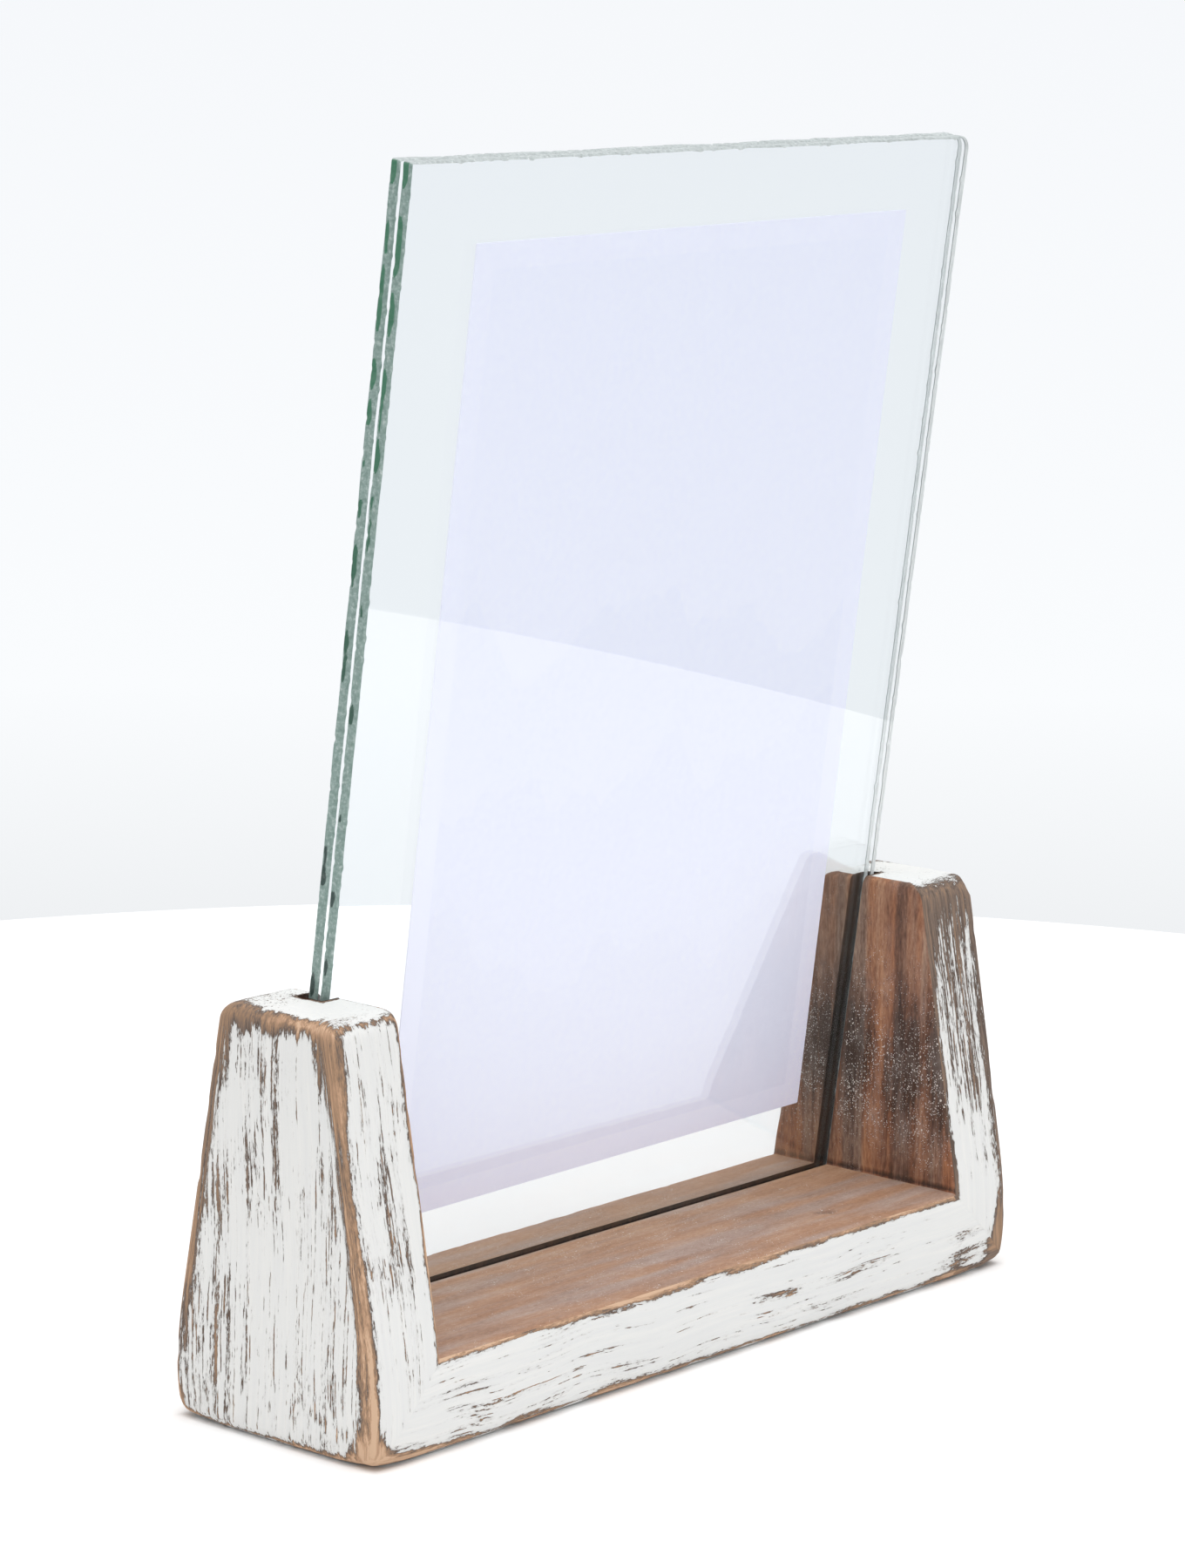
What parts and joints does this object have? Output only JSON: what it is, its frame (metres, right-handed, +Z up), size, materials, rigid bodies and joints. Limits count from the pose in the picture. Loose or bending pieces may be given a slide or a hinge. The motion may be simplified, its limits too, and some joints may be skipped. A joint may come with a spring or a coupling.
{
  "type": "photo holder",
  "caption": "U-shaped worn white wooden base with a leaning slot that holds panes of glass upright with a paper print pinched between them.",
  "frame": {"origin": "centre of the footprint, on the surface that the base stands on", "axes": "+Z up, -Y the front where the print faces, +X the viewer's right from the front"},
  "size_m": [0.1532, 0.0426, 0.1875],
  "materials": {
    "painted_wood": "white paint worn through to brown wood at the edges",
    "float_glass": "clear, pale green at the edges",
    "photo_paper": "resin-coated paper, blank back",
    "dowel_wood": "plain turned wood"
  },
  "bodies": {
    "base": {"base_rail": "painted_wood", "left_upright": "painted_wood", "right_upright": "painted_wood", "mitre_dowels": "dowel_wood"},
    "front_pane": {"front_glass": "float_glass"},
    "rear_pane": {"rear_glass": "float_glass"},
    "print": {"photo_print": "photo_paper"}
  },
  "joints": [
    {"name": "front_glass_lift", "type": "slide", "parent": "base", "child": "front_pane", "axis": [0, 0.1271, 0.9919], "range_m": [0, 0.06]},
    {"name": "rear_glass_lift", "type": "slide", "parent": "base", "child": "rear_pane", "axis": [0, 0.1271, 0.9919], "range_m": [0, 0.06]},
    {"name": "print_slide", "type": "slide", "parent": "front_pane", "child": "print", "axis": [0, 0.1271, 0.9919], "range_m": [-0.017, 0.165]}
  ]
}
